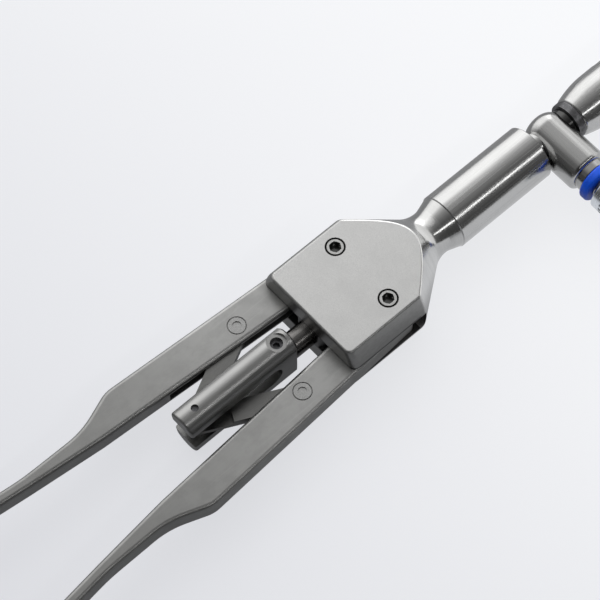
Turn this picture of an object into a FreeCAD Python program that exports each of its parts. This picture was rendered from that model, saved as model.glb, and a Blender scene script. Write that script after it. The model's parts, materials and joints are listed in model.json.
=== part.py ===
import FreeCAD, Part
import math
import os

# Clip applier: a squeeze handle with two arms, a swivelling shaft with a flush port,
# and a pair of jaws that close as the arms are squeezed.
# Millimetres. +X runs along the instrument towards the jaws, +Z is up, and the left arm
# is at +Y. The origin is on the underside of the handle body, midway between the two
# arm pivots, so the instrument axis runs at half the body's thickness.

# Clearances
running_gap = 0.05        # radial, a pin or shaft that turns or slides in its hole
fitted_gap = 0.02         # radial, pieces that are fastened to each other
side_gap = 0.10           # flat faces that slide past each other
link_eye_gap = 0.14       # radial, where both link eyes share the slider pin

# How far a cutting shape reaches beyond the surface that it opens
past = 1.0

# Handle body: a turned bar with two flats and a coned front
body_radius = 17.8
body_thickness = 18.7
body_behind_pivots = 18.54
body_shoulder_ahead = 6.4   # from the pivots to where the cone starts
body_cone_angle = 36.5
body_rear_round = 2.0
body_shoulder_round = 1.2
body_flat_edge_round = 0.8
neck_radius = 6.5
neck_fillet = 8.5
neck_length = 3.7
neck_flare_length = 3.95
neck_flare_round = 4.5
neck_flare_end_radius = 7.75
spigot_radius = 5.5
spigot_length = 5.4
web_half_width = 5.0
web_corner_chamfer = 1.2
arm_slot_ahead = 6.76     # front wall of the arm slots, from the pivots

# Barrel in front of the body
barrel_radius = 8.0
barrel_length = 32.0
barrel_bore_radius = 5.6
barrel_edge_chamfer = 0.3

# Arm pivots
pivot_offset = 10.03
pivot_shank_radius = 2.3
pivot_head_radius = 2.45
pivot_head_height = 2.2
pivot_thread_radius = 1.9
pivot_socket_radius = 1.7
pivot_socket_depth = 2.0
pivot_rim_bevel = 0.25    # on the head's rim and on the rim of its hole

# Arms: a wide flat plate that narrows to a slim bar
arm_thickness = 6.0
arm_ahead = 3.46
arm_front_outer = 16.75
arm_front_inner = 5.87
arm_shoulder_behind = 69.0
arm_shoulder_outer = 21.15
arm_plate_end_past_shoulder = 9.0
arm_plate_end_inner = 11.1
arm_waist_past_shoulder = 11.5
arm_waist_outer = 16.8
arm_bar_past_waist = 19.5
arm_bar_outer = 16.95
arm_bar_width = 3.5
arm_bow_past_bar = 22.0
arm_bow_outer = 19.6
arm_tail_past_bow = 19.0
arm_tail_outer = 22.9
arm_edge_round = 1.2
arm_corner_round = 1.5
arm_shoulder_round = 9.0
arm_waist_round = 25.0
arm_bar_round = 60.0
arm_bow_round = 90.0
arm_tip_round = 1.6
arm_slot_height = 3.0
arm_slot_depth = 7.9
arm_slot_front_behind = 17.0
arm_slot_rear_behind = 52.2
arm_slot_cutter = 6.0

# Links between the arms and the slider
link_rivet_behind = 31.8
link_rivet_offset = 12.57
link_pin_behind = 56.74
link_half_width = 2.9
link_thickness = 2.8
link_lap_length = 9.3
link_rivet_radius = 1.6
link_rivet_head_radius = 2.45
link_rivet_head_height = 0.9
link_rivet_dimple_radius = 1.25
link_rivet_dimple_depth = 0.35
link_rivet_rim_bevel = 0.15

# Slider: the oblong block that the links pull
slider_behind = 25.44
slider_length = 36.5
slider_width = 8.0
slider_height = 18.0
slider_slot_half_height = 3.2
slider_slot_front_behind = 30.9
slider_rear_setback = 2.0 # the lower cheek ends this far ahead of the upper one
slider_rear_round = 0.7
slider_front_chamfer = 0.5
slider_pin_radius = 1.0
slider_pin_recess = 0.9
spacer_radius = 2.6
set_screw_behind = 29.3
set_screw_radius = 1.7
set_screw_recess = 2.2
set_screw_spot_radius = 2.7
set_screw_spot_depth = 0.9
set_screw_socket_radius = 1.0
set_screw_socket_depth = 1.2

# Plunger rod inside the body and the barrel
plunger_radius = 3.5
plunger_spigot_radius = 2.5
plunger_spigot_length = 6.0
plunger_front = 50.5
swivel_wall = 1.2
swivel_head_radius = 2.0
swivel_head_length = 1.5
swivel_neck_radius = 1.1
swivel_neck_past_journal = 0.5

# Return spring and what holds it
spring_wire_radius = 0.55
spring_coils = 6
spring_mean_radius = 4.5
spring_seat_rear = 44.5
spring_seat_length = 2.0
spring_seat_radius = 5.3
circlip_width = 0.8
circlip_depth = 0.5
circlip_stand = 1.1
circlip_opening = 1.6

# Swivel joint between the barrel and the shaft
journal_radius = 4.5
journal_circlip_radius = 5.3
journal_rear = 51.2
bush_rear = 53.0
bush_recess = 0.2
port_to_barrel_gap = 0.65

# Flush port: a cross cylinder with a nipple, a seal ring and a screw cap
port_radius = 6.3
port_far_end = 5.6
port_far_round = 4.5
port_open_end = 14.9
port_mouth_round = 1.3
port_bore_radius = 2.15
nipple_flange_radius = 5.0
nipple_flange_length = 2.15
nipple_radius = 3.3
nipple_length = 10.5
nipple_lug_radius = 3.9
nipple_lug_length = 1.4
nipple_flange_round = 0.4
nipple_lug_round = 0.3
seal_ring_radius = 6.0
seal_ring_length = 2.7
seal_ring_round = 0.8
cap_radius = 5.9
cap_start = 21.3
cap_bore_radius = 4.2
cap_wall = 1.8
cap_groove_count = 24
cap_groove_radius = 0.55
cap_groove_depth = 0.4
cap_groove_margin = 1.5
cap_mouth_band = 3.0      # smooth length at the open end of the cap
cap_mouth_round = 0.6
cap_top_round = 1.0
cap_gasket_radius = 4.0
cap_gasket_length = 1.2

# Shaft, knob and what seals it
hub_radius = 4.6
hub_plug_length = 12.0
rod_bore_radius = 1.9
gland_behind_port = 8.6
oring_wire_radius = 0.7
oring_count = 2
collar_radius = 5.5
collar_length = 2.1
collar_behind_gap = 0.1
knob_rear_radius = 5.8
knob_radius = 7.4
knob_swell_length = 6.0
knob_length = 34.5
knob_nose_radius = 5.8
knob_nose_length = 7.0
knob_rear_round = 0.8
knob_swell_round = 30.0
knob_shoulder_round = 8.0
knob_front_round = 0.5
knob_flute_count = 8
knob_flute_radius = 2.2
knob_flute_depth = 0.6
knob_flute_length = 12.0
knob_screw_radius = 1.5
knob_screw_to_front = 4.5
knob_screw_slot_width = 0.5
knob_screw_slot_depth = 0.5
tube_radius = 5.0
tube_bore_radius = 4.25
tube_seat = 84.0
tube_seat_radius = 4.6    # of the length of tube that is held in the knob
tube_shoulder_ahead = 0.5 # from the front of the knob to the full radius
shaft_working_length = 334.0    # from the front of the knob to the jaw tips, jaws closed

# Jaws
jaw_length = 24.0
jaw_open_angle = 12.0
jaw_half_width = 2.8
jaw_tip_half_width = 2.2
jaw_root_height = 2.9
jaw_tip_height = 2.1
jaw_face_gap = 0.15
jaw_hub_radius = 2.6
jaw_head_start = 3.2
jaw_tail_length = 9.6
jaw_tail_above = 2.8       # on the side of the cam slot
jaw_tail_below = 1.9
jaw_groove_half_width = 0.6
jaw_groove_depth = 0.7
jaw_tip_round = 1.6
jaw_pin_radius = 1.25
clevis_ahead = 6.0
clevis_behind = 11.0
clevis_plug_length = 12.0
clevis_slot_extra = 4.0
clevis_front_chamfer = 0.6
drive_pin_radius = 1.0
drive_pin_behind = 6.5
rod_radius = 1.5
tang_half_thickness = 0.8
tang_half_height = 2.0
tang_behind_pin = 3.7
tang_ahead_pin = 1.9
tang_boss_radius = 2.2
tang_boss_length = 3.0

# Motion
arm_squeeze = 5.0         # degrees that each arm closes

# Lengths that follow from the sizes above
half_thickness = body_thickness / 2.0
body_rear = -body_behind_pivots
body_front = body_shoulder_ahead
arm_plate_end_behind = arm_shoulder_behind + arm_plate_end_past_shoulder
arm_waist_behind = arm_shoulder_behind + arm_waist_past_shoulder
arm_bar_behind = arm_waist_behind + arm_bar_past_waist
arm_bow_behind = arm_bar_behind + arm_bow_past_bar
arm_tail_behind = arm_bow_behind + arm_tail_past_bow
neck_start = body_front + (body_radius - neck_radius) / math.tan(math.radians(body_cone_angle))
neck_end = neck_start + neck_length
barrel_rear = neck_end + neck_flare_length
barrel_front = barrel_rear + barrel_length
spigot_front = barrel_rear + spigot_length
port_x = barrel_front + port_to_barrel_gap + port_radius
nipple_tip = port_open_end + nipple_flange_length + nipple_length
gasket_start = nipple_tip + side_gap
cap_bore_end = gasket_start + cap_gasket_length + fitted_gap
cap_end = cap_bore_end + cap_wall
collar_rear = port_x + port_radius + collar_behind_gap
knob_rear = collar_rear + collar_length
knob_front = knob_rear + knob_length
jaw_pivot_x = knob_front + shaft_working_length - jaw_length
clevis_front = jaw_pivot_x + clevis_ahead
clevis_rear = jaw_pivot_x - clevis_behind
slider_front = -slider_behind
slider_rear = slider_front - slider_length
link_pin_x = -link_pin_behind
rivet_x = -link_rivet_behind
link_length = math.hypot(link_pin_behind - link_rivet_behind, link_rivet_offset)
rivet_arm_y = link_rivet_offset - pivot_offset
squeeze = math.radians(arm_squeeze)
rivet_closed_x = rivet_x * math.cos(squeeze) - rivet_arm_y * math.sin(squeeze)
rivet_closed_y = pivot_offset + rivet_x * math.sin(squeeze) + rivet_arm_y * math.cos(squeeze)
link_reach_closed = math.sqrt(link_length ** 2 - rivet_closed_y ** 2)
slider_travel = link_pin_x - (rivet_closed_x - link_reach_closed)
swivel_cavity_front = plunger_front - swivel_wall
swivel_cavity_rear = swivel_cavity_front - swivel_head_length - 2.0 * side_gap
seat_front = spring_seat_rear + spring_seat_length
oring_seat_length = 2.0 * oring_wire_radius + side_gap
oring_mean_radius = rod_radius + running_gap + oring_wire_radius
gland_radius = oring_mean_radius + oring_wire_radius + fitted_gap
gland_start = port_x - gland_behind_port


def vec(x, y=0.0, z=0.0):
    return FreeCAD.Vector(x, y, z)


ORIGIN = vec(0.0)
ALONG_X = vec(1.0, 0.0, 0.0)
ALONG_Y = vec(0.0, 1.0, 0.0)
ALONG_Z = vec(0.0, 0.0, 1.0)


def bar_x(radius, x_start, x_end, y=0.0, z=0.0):
    return Part.makeCylinder(radius, x_end - x_start, vec(x_start, y, z), ALONG_X)


def bar_y(radius, y_start, y_end, x=0.0, z=0.0):
    return Part.makeCylinder(radius, y_end - y_start, vec(x, y_start, z), ALONG_Y)


def bar_z(radius, z_start, z_end, x=0.0, y=0.0):
    return Part.makeCylinder(radius, z_end - z_start, vec(x, y, z_start), ALONG_Z)


def cone_z(radius_start, radius_end, z_start, z_end, x, y):
    if z_end > z_start:
        return Part.makeCone(radius_start, radius_end, z_end - z_start, vec(x, y, z_start), ALONG_Z)
    return Part.makeCone(radius_start, radius_end, z_start - z_end, vec(x, y, z_start), vec(0.0, 0.0, -1.0))


def block(x_start, x_end, y_start, y_end, z_start, z_end):
    corner = vec(x_start, y_start, z_start)
    return Part.makeBox(x_end - x_start, y_end - y_start, z_end - z_start, corner)


def hexagon_z(corner_radius, z_start, z_end, x, y):
    corners = []
    for i in range(6):
        angle = math.radians(60.0 * i)
        across = corner_radius * math.cos(angle)
        corners.append(vec(x + across, y + corner_radius * math.sin(angle), z_start))
    face = Part.Face(Part.makePolygon(corners + corners[:1]))
    return face.extrude(vec(0.0, 0.0, z_end - z_start))


def rounded_wire(corners):
    """Closed wire through (x, y, radius) corners; each radius above zero becomes a tangent arc."""
    arcs = []
    for i, (x, y, radius) in enumerate(corners):
        here = vec(x, y)
        if radius <= 0.0:
            arcs.append((here, here, here))
            continue
        back = (vec(*corners[i - 1][:2]) - here).normalize()
        onward = (vec(*corners[(i + 1) % len(corners)][:2]) - here).normalize()
        half_angle = back.getAngle(onward) / 2.0
        trim = radius / math.tan(half_angle)
        inward = (back + onward).normalize()
        middle = here + inward * (radius / math.sin(half_angle) - radius)
        arcs.append((here + back * trim, middle, here + onward * trim))
    edges = []
    for i, (start, middle, end) in enumerate(arcs):
        if start.distanceToPoint(end) > 0.0:
            edges.append(Part.Arc(start, middle, end).toShape())
        following = arcs[(i + 1) % len(arcs)][0]
        if end.distanceToPoint(following) > 1e-7:
            edges.append(Part.makeLine(end, following))
    return Part.Wire(edges)


def plate(corners, z_start, z_end):
    """Flat plate with the given (x, y, radius) outline."""
    face = Part.Face(rounded_wire(corners))
    face.translate(vec(0.0, 0.0, z_start))
    return face.extrude(vec(0.0, 0.0, z_end - z_start))


def turned(corners):
    """Solid of revolution about the X axis from (x, distance from axis, radius) corners."""
    return Part.Face(rounded_wire(corners)).revolve(ORIGIN, ALONG_X, 360.0)


def ring_x(outer, inner, x_start, x_end):
    return bar_x(outer, x_start, x_end).cut(bar_x(inner, x_start, x_end))


def split_ring_x(inner, outer, x_start, opening):
    """Retaining ring with a gap at the bottom."""
    ring = ring_x(outer, inner, x_start, x_start + circlip_width - side_gap)
    return ring.cut(block(x_start, x_start + circlip_width, -opening / 2.0, opening / 2.0, -outer, 0.0))


def mirrored(shape):
    return shape.mirror(ORIGIN, ALONG_Y)


def edges_at_height(shape, height):
    """Edges that lie in the plane z = height."""
    found = []
    for edge in shape.Edges:
        box = edge.BoundBox
        if abs(box.ZMin - height) < 1e-4 and abs(box.ZMax - height) < 1e-4:
            found.append(edge)
    return found


def place(shape):
    """Move a piece modelled about the instrument axis to its height above the underside."""
    moved = shape.copy()
    moved.translate(vec(0.0, 0.0, half_thickness))
    return moved


# Handle body and barrel

def make_handle_body():
    bar = turned([
        (body_rear, 0.0, 0.0),
        (body_rear, body_radius, body_rear_round),
        (body_front, body_radius, body_shoulder_round),
        (neck_start, neck_radius, neck_fillet),
        (neck_end, neck_radius, neck_flare_round),
        (barrel_rear, neck_flare_end_radius, 0.0),
        (barrel_rear, spigot_radius, 0.0),
        (spigot_front, spigot_radius, 0.0),
        (spigot_front, 0.0, 0.0)])
    reach = spigot_front
    flats = block(body_rear, reach, -body_radius, body_radius, -half_thickness, half_thickness)
    body = bar.common(flats)
    outline = edges_at_height(body, half_thickness) + edges_at_height(body, -half_thickness)
    body = body.makeFillet(body_flat_edge_round, outline)
    slot_half = arm_thickness / 2.0 + side_gap
    for side in (-1.0, 1.0):
        near = side * web_half_width
        far = side * (body_radius + past)
        low = min(near, far)
        high = max(near, far)
        body = body.cut(block(body_rear - past, arm_slot_ahead, low, high, -slot_half, slot_half))
        corner = plate([
            (body_rear - past, near, 0.0),
            (body_rear - past, near - side * (web_corner_chamfer + past), 0.0),
            (body_rear + web_corner_chamfer, near, 0.0)], -slot_half, slot_half)
        body = body.cut(corner)
        y = side * pivot_offset
        head_seat = half_thickness - pivot_head_height
        body = body.cut(bar_z(pivot_head_radius + fitted_gap, head_seat, half_thickness + past, 0.0, y))
        hole = pivot_head_radius + fitted_gap
        bevel = pivot_rim_bevel
        body = body.cut(cone_z(hole, hole + bevel, half_thickness - bevel, half_thickness, 0.0, y))
        body = body.cut(bar_z(pivot_shank_radius + fitted_gap, -slot_half, head_seat, 0.0, y))
        body = body.cut(bar_z(pivot_thread_radius + fitted_gap, -half_thickness - past, -slot_half, 0.0, y))
    return body.cut(bar_x(plunger_radius + running_gap, body_rear - past, spigot_front + past))


def make_barrel():
    tube = turned([
        (barrel_rear, 0.0, 0.0),
        (barrel_rear, barrel_radius - barrel_edge_chamfer, 0.0),
        (barrel_rear + barrel_edge_chamfer, barrel_radius, 0.0),
        (barrel_front - barrel_edge_chamfer, barrel_radius, 0.0),
        (barrel_front, barrel_radius - barrel_edge_chamfer, 0.0),
        (barrel_front, 0.0, 0.0)])
    return tube.cut(bar_x(barrel_bore_radius, barrel_rear - past, barrel_front + past))


def make_pivot_screw(side):
    y = side * pivot_offset
    slot_half = arm_thickness / 2.0 + side_gap
    head_seat = half_thickness - pivot_head_height
    screw = bar_z(pivot_head_radius, head_seat, half_thickness, 0.0, y)
    screw = screw.makeChamfer(pivot_rim_bevel, edges_at_height(screw, half_thickness))
    screw = screw.fuse(bar_z(pivot_shank_radius, -slot_half, head_seat, 0.0, y))
    screw = screw.fuse(bar_z(pivot_thread_radius, -half_thickness, -slot_half, 0.0, y))
    floor = half_thickness - pivot_socket_depth
    socket = hexagon_z(pivot_socket_radius, floor, half_thickness + past, 0.0, y)
    return screw.cut(socket).removeSplitter()


# Arms and links

def arm_inner_at(x):
    """Distance of an arm's inner edge from the axis along its straight wide part."""
    slope = (arm_plate_end_inner - arm_front_inner) / (arm_plate_end_behind + arm_ahead)
    return arm_front_inner + slope * (arm_ahead - x)


def make_left_arm():
    half = arm_thickness / 2.0
    outline = [
        (arm_ahead, arm_front_outer, arm_corner_round),
        (-arm_shoulder_behind, arm_shoulder_outer, arm_shoulder_round),
        (-arm_waist_behind, arm_waist_outer, arm_waist_round),
        (-arm_bar_behind, arm_bar_outer, arm_bar_round),
        (-arm_bow_behind, arm_bow_outer, arm_bow_round),
        (-arm_tail_behind, arm_tail_outer, arm_tip_round),
        (-arm_tail_behind, arm_tail_outer - arm_bar_width, arm_tip_round),
        (-arm_bow_behind, arm_bow_outer - arm_bar_width, arm_bow_round),
        (-arm_bar_behind, arm_bar_outer - arm_bar_width, arm_bar_round),
        (-arm_plate_end_behind, arm_plate_end_inner, arm_waist_round),
        (arm_ahead, arm_front_inner, arm_corner_round)]
    arm = plate(outline, -half, half)
    rims = edges_at_height(arm, half) + edges_at_height(arm, -half)
    arm = arm.makeFillet(arm_edge_round, rims)
    front = -arm_slot_front_behind
    rear = -arm_slot_rear_behind
    slot = plate([
        (front + arm_slot_cutter, arm_inner_at(front + arm_slot_cutter) - 2.0 * past, 0.0),
        (front, arm_inner_at(front) + arm_slot_depth, arm_slot_cutter),
        (rear, arm_inner_at(rear) + arm_slot_depth, arm_slot_cutter),
        (rear - arm_slot_cutter, arm_inner_at(rear - arm_slot_cutter) - 2.0 * past, 0.0)],
        -arm_slot_height / 2.0, arm_slot_height / 2.0)
    arm = arm.cut(slot)
    low = -half - past
    high = half + past
    arm = arm.cut(bar_z(pivot_shank_radius + running_gap, low, high, 0.0, pivot_offset))
    arm = arm.cut(bar_z(link_rivet_radius + fitted_gap, low, high, rivet_x, link_rivet_offset))
    for z_start in (half - link_rivet_head_height, low):
        z_end = z_start + link_rivet_head_height + past
        seat = bar_z(link_rivet_head_radius + fitted_gap, z_start, z_end, rivet_x, link_rivet_offset)
        arm = arm.cut(seat)
    bevel = link_rivet_rim_bevel
    rim = link_rivet_head_radius + fitted_gap
    for side in (-1.0, 1.0):
        deep = side * (half - bevel)
        arm = arm.cut(cone_z(rim, rim + bevel, deep, side * half, rivet_x, link_rivet_offset))
    return arm


def make_left_rivet():
    half = arm_thickness / 2.0
    head = link_rivet_head_height
    x = rivet_x
    y = link_rivet_offset
    rivet = bar_z(link_rivet_radius, -half, half, x, y)
    upper = bar_z(link_rivet_head_radius, half - head, half, x, y)
    upper = upper.makeChamfer(link_rivet_rim_bevel, edges_at_height(upper, half))
    lower = bar_z(link_rivet_head_radius, -half, -half + head, x, y)
    lower = lower.makeChamfer(link_rivet_rim_bevel, edges_at_height(lower, -half))
    rivet = rivet.fuse(upper).fuse(lower)
    dimple = link_rivet_dimple_radius
    rivet = rivet.cut(bar_z(dimple, half - link_rivet_dimple_depth, half + past, x, y))
    rivet = rivet.cut(bar_z(dimple, -half - past, -half + link_rivet_dimple_depth, x, y))
    return rivet.removeSplitter()


def make_link(lap_above):
    """Left link; its rear eye keeps the upper or the lower half of its thickness."""
    half = link_thickness / 2.0
    eye = link_half_width
    bar = bar_z(eye, -half, half, 0.0, 0.0)
    bar = bar.fuse(bar_z(eye, -half, half, -link_length, 0.0))
    bar = bar.fuse(block(-link_length, 0.0, -eye, eye, -half, half))
    bar = bar.removeSplitter()
    lap_start = -link_length - eye - past
    lap_end = -link_length + link_lap_length
    if lap_above:
        away = block(lap_start, lap_end, -eye - past, eye + past, -half - past, side_gap / 2.0)
    else:
        away = block(lap_start, lap_end, -eye - past, eye + past, -side_gap / 2.0, half + past)
    bar = bar.cut(away)
    bar = bar.cut(bar_z(link_rivet_radius + running_gap, -half - past, half + past, 0.0, 0.0))
    bar = bar.cut(bar_z(slider_pin_radius + link_eye_gap, -half - past, half + past, -link_length, 0.0))
    lean = math.degrees(math.atan2(link_rivet_offset, link_pin_behind - link_rivet_behind))
    bar.rotate(ORIGIN, ALONG_Z, lean)
    bar.translate(vec(rivet_x, link_rivet_offset))
    return bar


# Slider and plunger

def make_slider():
    half_width = slider_width / 2.0
    flat_half = slider_height / 2.0 - half_width
    slider = block(slider_rear, slider_front, -half_width, half_width, -flat_half, flat_half)
    for z in (-flat_half, flat_half):
        slider = slider.fuse(bar_x(half_width, slider_rear, slider_front, 0.0, z))
    slider = slider.removeSplitter()
    front_rim = [edge for edge in slider.Edges if abs(edge.BoundBox.XMin - slider_front) < 1e-4]
    slider = slider.makeChamfer(slider_front_chamfer, front_rim)
    top = slider_height / 2.0
    lean = slider_rear_setback / slider_height
    upper_rear = slider_rear - lean * past
    lower_rear = slider_rear + lean * (slider_height + past)
    behind = slider_rear - past
    leaning_cut = Part.Face(Part.makePolygon([
        vec(behind, -half_width - past, -top - past),
        vec(lower_rear, -half_width - past, -top - past),
        vec(upper_rear, -half_width - past, top + past),
        vec(behind, -half_width - past, top + past),
        vec(behind, -half_width - past, -top - past)]))
    slider = slider.cut(leaning_cut.extrude(vec(0.0, slider_width + 2.0 * past, 0.0)))
    rear_limit = slider_rear + slider_rear_setback + 1e-4
    rear_rim = [edge for edge in slider.Edges if edge.BoundBox.XMax < rear_limit]
    slider = slider.makeFillet(slider_rear_round, rear_rim)
    slot = slider_slot_half_height
    slot_centre = -slider_slot_front_behind - slot
    opening = block(slider_rear - past, slot_centre, -half_width - past, half_width + past, -slot, slot)
    opening = opening.fuse(bar_y(slot, -half_width - past, half_width + past, slot_centre, 0.0))
    slider = slider.cut(opening)
    slider = slider.cut(bar_z(slider_pin_radius + fitted_gap, -top - past, top + past, link_pin_x, 0.0))
    screw_x = -set_screw_behind
    slider = slider.cut(bar_z(set_screw_spot_radius, top - set_screw_spot_depth, top + past, screw_x, 0.0))
    slider = slider.cut(bar_z(set_screw_radius + fitted_gap, 0.0, top + past, screw_x, 0.0))
    spigot_rear = slider_front - plunger_spigot_length
    return slider.cut(bar_x(plunger_spigot_radius + fitted_gap, spigot_rear, slider_front + past))


def make_slider_set_screw():
    x = -set_screw_behind
    top = slider_height / 2.0 - set_screw_recess
    screw = bar_z(set_screw_radius, plunger_spigot_radius + fitted_gap, top, x, 0.0)
    return screw.cut(hexagon_z(set_screw_socket_radius, top - set_screw_socket_depth, top + past, x, 0.0))


def make_slider_pin():
    reach = slider_height / 2.0 - slider_pin_recess
    return bar_z(slider_pin_radius, -reach, reach, link_pin_x, 0.0)


def make_link_spacers():
    inner = link_thickness / 2.0 + side_gap
    outer = slider_slot_half_height - fitted_gap
    hole = slider_pin_radius + fitted_gap
    spacers = []
    for z_start, z_end in ((inner, outer), (-outer, -inner)):
        washer = bar_z(spacer_radius, z_start, z_end, link_pin_x, 0.0)
        spacers.append(washer.cut(bar_z(hole, z_start, z_end, link_pin_x, 0.0)))
    return Part.makeCompound(spacers)


def make_plunger_rod():
    spigot_rear = slider_front - plunger_spigot_length
    rod = bar_x(plunger_radius, slider_front, plunger_front)
    rod = rod.fuse(bar_x(plunger_spigot_radius, spigot_rear, slider_front)).removeSplitter()
    groove_root = plunger_radius - circlip_depth
    rod = rod.cut(ring_x(plunger_radius + past, groove_root, seat_front, seat_front + circlip_width))
    head = swivel_head_radius + side_gap
    neck = swivel_neck_radius + side_gap
    above = plunger_radius + past
    cavity = bar_x(head, swivel_cavity_rear, swivel_cavity_front)
    cavity = cavity.fuse(block(swivel_cavity_rear, swivel_cavity_front, -head, head, 0.0, above))
    cavity = cavity.fuse(bar_x(neck, swivel_cavity_front, plunger_front + past))
    cavity = cavity.fuse(block(swivel_cavity_front, plunger_front + past, -neck, neck, 0.0, above))
    return rod.cut(cavity)


def make_spring_seat():
    return ring_x(spring_seat_radius, plunger_radius + fitted_gap, spring_seat_rear, seat_front - fitted_gap)


def make_plunger_circlip():
    inner = plunger_radius - circlip_depth + fitted_gap
    return split_ring_x(inner, plunger_radius + circlip_stand, seat_front + side_gap / 2.0, circlip_opening)


def make_return_spring():
    start = spigot_front + spring_wire_radius
    length = spring_seat_rear - spring_wire_radius - start
    helix = Part.makeHelix(length / spring_coils, length, spring_mean_radius)
    profile = Part.makeCircle(spring_wire_radius, vec(spring_mean_radius, 0.0, 0.0), ALONG_Y)
    coil = Part.Wire(helix).makePipeShell([Part.Wire(profile)], True, True)
    coil.rotate(ORIGIN, ALONG_Y, 90.0)
    coil.translate(vec(start))
    return coil


# Swivel joint and flush port

def along_port(shape):
    """Turn a piece made along X to lie along the flush port, which points to -Y."""
    across = shape.copy()
    across.rotate(ORIGIN, ALONG_Z, -90.0)
    across.translate(vec(port_x))
    return across


def make_swivel_bush():
    outer = barrel_bore_radius - fitted_gap
    return ring_x(outer, journal_radius + running_gap, bush_rear, barrel_front - bush_recess)


def make_journal_circlip():
    start = bush_rear - circlip_width - side_gap / 2.0
    inner = journal_radius - circlip_depth + fitted_gap
    return split_ring_x(inner, journal_circlip_radius, start, circlip_opening)


def make_port_block():
    cross = turned([
        (-port_far_end, 0.0, 0.0),
        (-port_far_end, port_radius, port_far_round),
        (port_open_end, port_radius, port_mouth_round),
        (port_open_end, 0.0, 0.0)])
    plug_front = tube_seat + hub_plug_length
    tee = along_port(cross).fuse(bar_x(journal_radius, journal_rear, port_x))
    tee = tee.fuse(bar_x(hub_radius, port_x, tube_seat))
    tee = tee.fuse(bar_x(tube_bore_radius - fitted_gap, tube_seat, plug_front)).removeSplitter()
    groove_start = bush_rear - circlip_width - side_gap
    groove_end = bush_rear - side_gap / 2.0
    tee = tee.cut(ring_x(journal_radius + past, journal_radius - circlip_depth, groove_start, groove_end))
    tee = tee.cut(bar_x(rod_bore_radius, journal_rear - past, plug_front + past))
    gland = bar_x(gland_radius, gland_start, gland_start + oring_count * oring_seat_length)
    tee = tee.cut(gland)
    return tee.cut(bar_y(port_bore_radius, -port_open_end - past, 0.0, port_x, 0.0))


def make_rod_seals():
    seals = []
    for i in range(oring_count):
        centre = vec(gland_start + (i + 0.5) * oring_seat_length)
        seals.append(Part.makeTorus(oring_mean_radius, oring_wire_radius, centre, ALONG_X))
    return Part.makeCompound(seals)


def make_port_nipple():
    start = port_open_end
    flange_end = start + nipple_flange_length
    tip = nipple_tip
    nipple = turned([
        (start, 0.0, 0.0),
        (start, nipple_flange_radius, 0.0),
        (flange_end, nipple_flange_radius, nipple_flange_round),
        (flange_end, nipple_radius, 0.0),
        (tip - nipple_lug_length, nipple_radius, 0.0),
        (tip - nipple_lug_length, nipple_lug_radius, 0.0),
        (tip, nipple_lug_radius, nipple_lug_round),
        (tip, 0.0, 0.0)])
    nipple = nipple.cut(bar_x(port_bore_radius, start - past, tip + past))
    return along_port(nipple)


def make_port_seal_ring():
    start = port_open_end + nipple_flange_length + fitted_gap
    ring = turned([
        (start, nipple_radius + fitted_gap, 0.0),
        (start, seal_ring_radius, seal_ring_round),
        (start + seal_ring_length, seal_ring_radius, seal_ring_round),
        (start + seal_ring_length, nipple_radius + fitted_gap, 0.0)])
    return along_port(ring)


def make_port_cap():
    end = cap_end
    cap = turned([
        (cap_start, 0.0, 0.0),
        (cap_start, cap_radius, cap_mouth_round),
        (end, cap_radius, cap_top_round),
        (end, 0.0, 0.0)])
    distance = cap_radius - cap_groove_depth + cap_groove_radius
    for i in range(cap_groove_count):
        angle = 2.0 * math.pi * i / cap_groove_count
        y = distance * math.cos(angle)
        z = distance * math.sin(angle)
        groove = bar_x(cap_groove_radius, cap_start + cap_mouth_band, end - cap_groove_margin, y, z)
        cap = cap.cut(groove)
    cap = cap.cut(bar_x(cap_bore_radius, cap_start - past, cap_bore_end))
    return along_port(cap)


def make_cap_gasket():
    return along_port(bar_x(cap_gasket_radius, gasket_start, gasket_start + cap_gasket_length))


# Knob and shaft

def make_knob_collar():
    return ring_x(collar_radius, hub_radius + fitted_gap, collar_rear, knob_rear - fitted_gap)


def make_rotation_knob():
    swell = knob_rear + knob_swell_length
    nose = knob_front - knob_nose_length
    knob = turned([
        (knob_rear, 0.0, 0.0),
        (knob_rear, knob_rear_radius, knob_rear_round),
        (swell, knob_radius, knob_swell_round),
        (nose, knob_radius, knob_shoulder_round),
        (knob_front, knob_nose_radius, knob_front_round),
        (knob_front, 0.0, 0.0)])
    for i in range(knob_flute_count):
        angle = 2.0 * math.pi * (i + 0.5) / knob_flute_count
        distance = knob_radius - knob_flute_depth + knob_flute_radius
        y = distance * math.cos(angle)
        z = distance * math.sin(angle)
        flute = bar_x(knob_flute_radius, nose - knob_flute_length, nose, y, z)
        flute = flute.fuse(Part.makeSphere(knob_flute_radius, vec(nose, y, z)))
        flute = flute.fuse(Part.makeSphere(knob_flute_radius, vec(nose - knob_flute_length, y, z)))
        knob = knob.cut(flute)
    knob = knob.cut(bar_x(hub_radius + fitted_gap, knob_rear - past, tube_seat))
    knob = knob.cut(bar_x(tube_seat_radius + fitted_gap, tube_seat, knob_front + past))
    screw_x = knob_front - knob_screw_to_front
    return knob.cut(bar_y(knob_screw_radius + fitted_gap, 0.0, knob_radius + past, screw_x, 0.0))


def make_knob_screw():
    screw_x = knob_front - knob_screw_to_front
    reach = knob_nose_radius
    screw = bar_y(knob_screw_radius, tube_seat_radius + fitted_gap, reach, screw_x, 0.0)
    half_slot = knob_screw_slot_width / 2.0
    low = screw_x - knob_screw_radius
    high = screw_x + knob_screw_radius
    return screw.cut(block(low, high, reach - knob_screw_slot_depth, reach, -half_slot, half_slot))


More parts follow.
